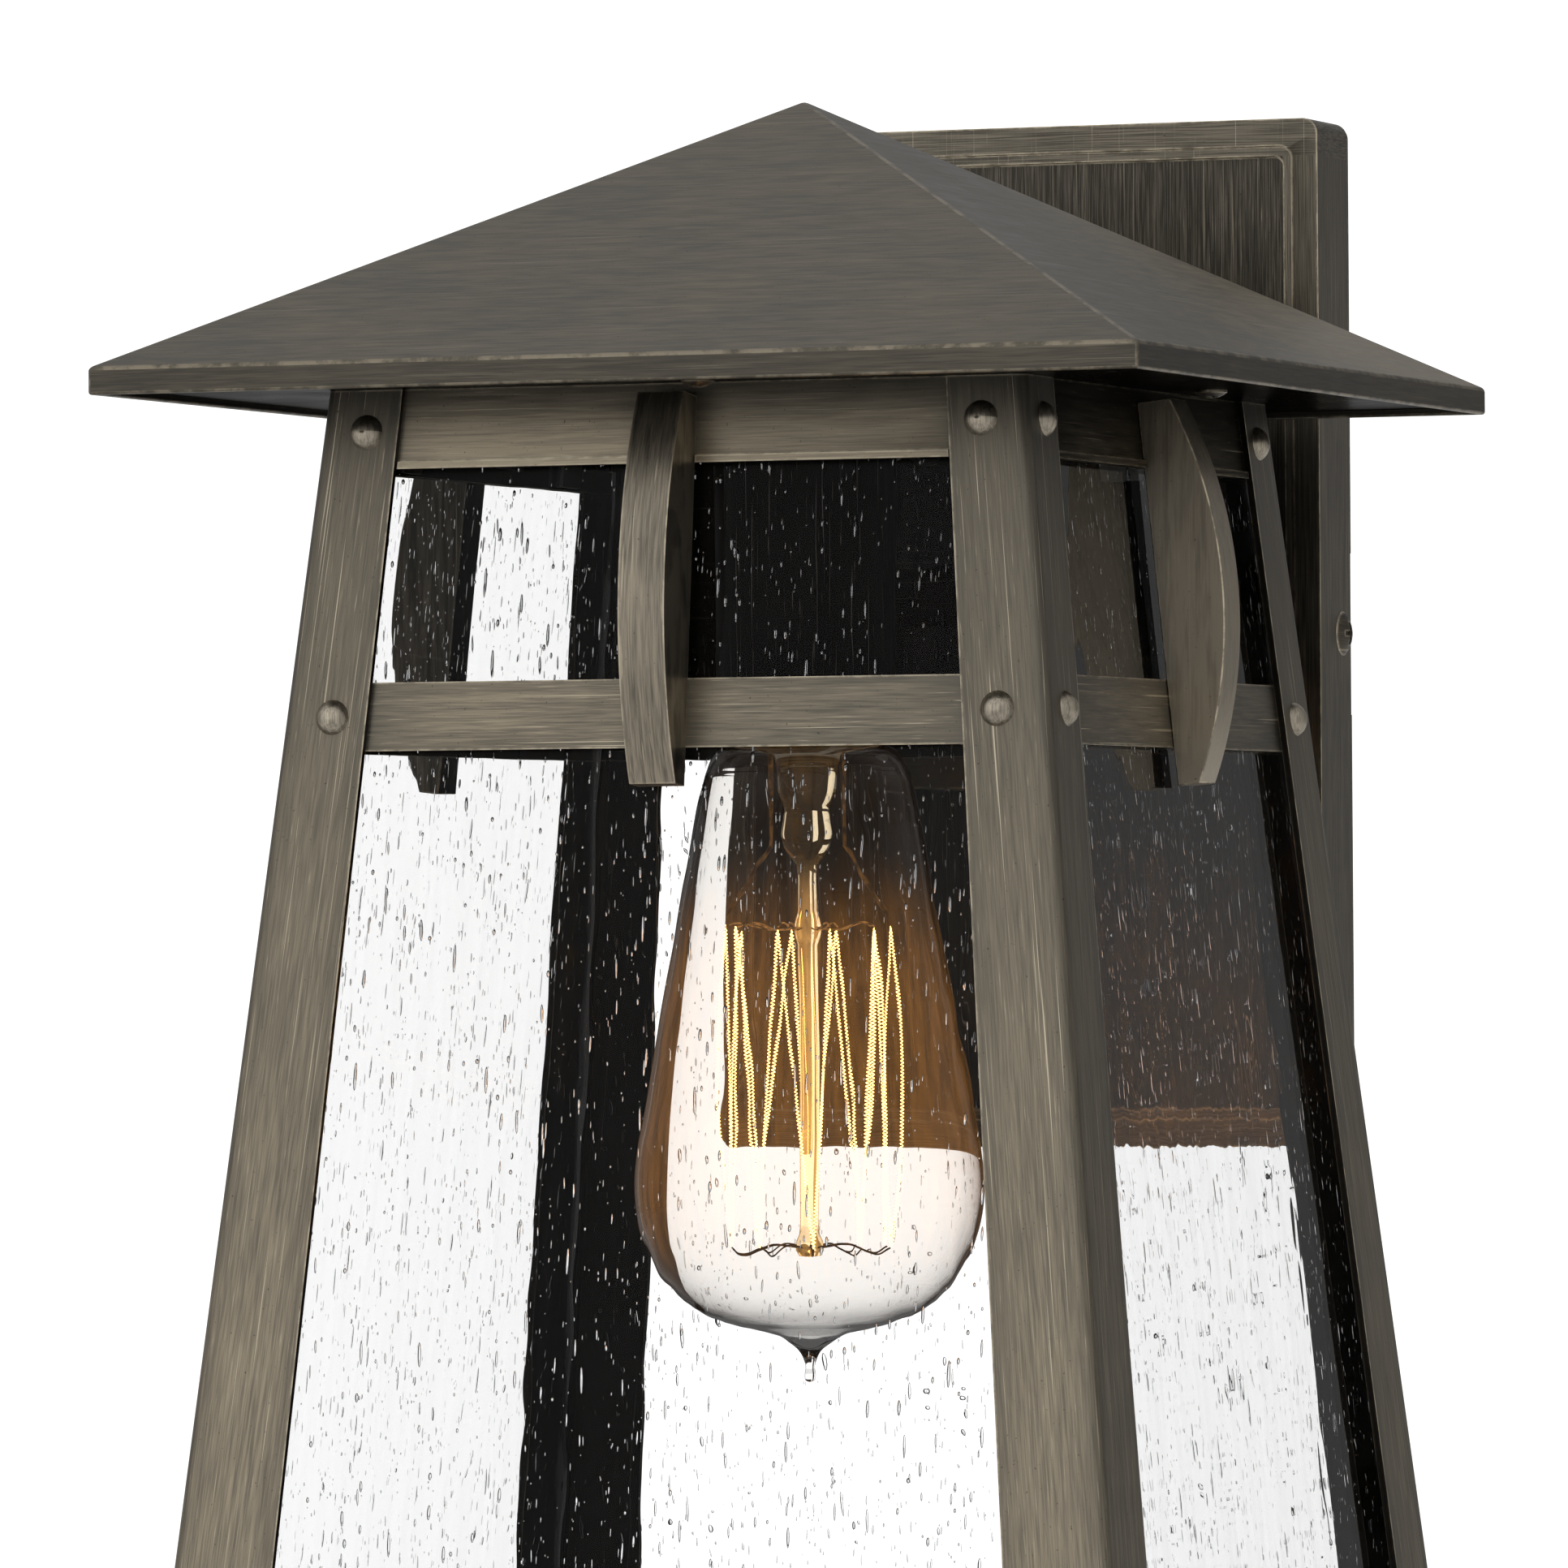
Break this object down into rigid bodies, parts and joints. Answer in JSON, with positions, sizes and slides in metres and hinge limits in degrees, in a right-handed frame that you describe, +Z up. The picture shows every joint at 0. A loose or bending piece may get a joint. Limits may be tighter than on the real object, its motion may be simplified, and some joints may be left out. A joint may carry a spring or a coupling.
{
  "type": "outdoor wall lantern",
  "caption": "Wall lantern with a square hipped roof over a flared, riveted glass cage with bowed straps, a stepped back plate and a tipped filament lamp hanging inside.",
  "frame": {"origin": "on the wall surface, at the centre of the mounting bracket's two box-screw slots, level with the middle of the back plate", "axes": "+Z up, -Y out of the wall towards the front of the lantern, +Y into the wall, X along the wall"},
  "size_m": [0.198, 0.23, 0.327],
  "materials": {
    "roof_bronze": "burnished dark bronze, brushed along the eaves",
    "cage_bronze": "burnished dark bronze, brushed along each bar, worn edges",
    "strap_bronze": "burnished dark bronze, lighter worn edges",
    "rivet_bronze": "burnished bronze, polished dome",
    "plate_bronze": "burnished dark bronze with light rubbed edges, brushed upright",
    "dark_bronze": "dark bronze",
    "zinc_steel": "bright zinc",
    "green_steel": "green zinc",
    "seeded_glass": "clear, with drawn seeds",
    "gasket_foam": "closed-cell foam and soft rubber",
    "porcelain": "glazed, off-white",
    "brass": "drawn brass",
    "tin_solder": "dull tin",
    "black_glass": "opaque black",
    "bulb_clear": "clear with a faint amber tint",
    "support_wire": "fine drawn wire",
    "filament_glow": "glowing warm white when lit",
    "wire_black": "sleeved",
    "wire_white": "sleeved",
    "wire_green": "sleeved",
    "cap_orange": "moulded"
  },
  "bodies": {
    "lantern": {"roof_shell": "roof_bronze", "header_front": "cage_bronze", "header_right": "cage_bronze", "header_rear": "cage_bronze", "header_left": "cage_bronze", "post_front_right": "cage_bronze", "post_rear_right": "cage_bronze", "post_rear_left": "cage_bronze", "post_front_left": "cage_bronze", "mid_rail_front": "cage_bronze", "mid_rail_right": "cage_bronze", "mid_rail_rear": "cage_bronze", "mid_rail_left": "cage_bronze", "bottom_rail_front": "cage_bronze", "bottom_rail_right": "cage_bronze", "bottom_rail_rear": "cage_bronze", "bottom_rail_left": "cage_bronze", "strap_front": "strap_bronze", "strap_right": "strap_bronze", "strap_left": "strap_bronze", "frame_rivets": "rivet_bronze", "back_plate": "plate_bronze", "arm_box": "plate_bronze", "soffit_plate": "dark_bronze", "socket_cup": "dark_bronze", "side_screws": "dark_bronze", "roof_standoffs": "zinc_steel", "soffit_screws": "zinc_steel", "header_screws": "zinc_steel", "header_nuts": "zinc_steel", "strap_screws": "zinc_steel", "glass_clips": "zinc_steel", "arm_screws": "zinc_steel", "arm_nuts": "zinc_steel", "mounting_bracket": "zinc_steel", "socket_nipple": "zinc_steel", "nipple_nut": "zinc_steel", "ground_screw": "green_steel", "pane_front": "seeded_glass", "pane_right": "seeded_glass", "pane_rear": "seeded_glass", "pane_left": "seeded_glass", "wall_gasket": "gasket_foam", "wire_grommet": "gasket_foam", "socket_body": "porcelain", "socket_shell": "brass", "socket_contact": "brass", "wire_hot": "wire_black", "wire_neutral": "wire_white", "wire_ground": "wire_green", "wire_connectors": "cap_orange"},
    "lamp_carriage": {"bulb_contact": "tin_solder"},
    "lamp": {"bulb_glass": "bulb_clear", "bulb_base": "brass", "bulb_insulator": "black_glass", "bulb_stem": "bulb_clear", "bulb_leads": "support_wire", "bulb_supports": "support_wire", "bulb_filament": "filament_glow"}
  },
  "joints": [
    {"name": "lamp_travel", "type": "slide", "parent": "lantern", "child": "lamp_carriage", "axis": [0, 0, -1], "range_m": [0, 0.02177]},
    {"name": "lamp_turn", "type": "hinge", "parent": "lamp_carriage", "child": "lamp", "pos_m": [0, -0.131, -0.06], "axis": [0, 0, -1], "range_deg": [0, 2160]}
  ],
  "couplings": [
    {"joint": "lamp_travel", "follows": "lamp_turn", "m_per_rad": 0.00057757}
  ]
}
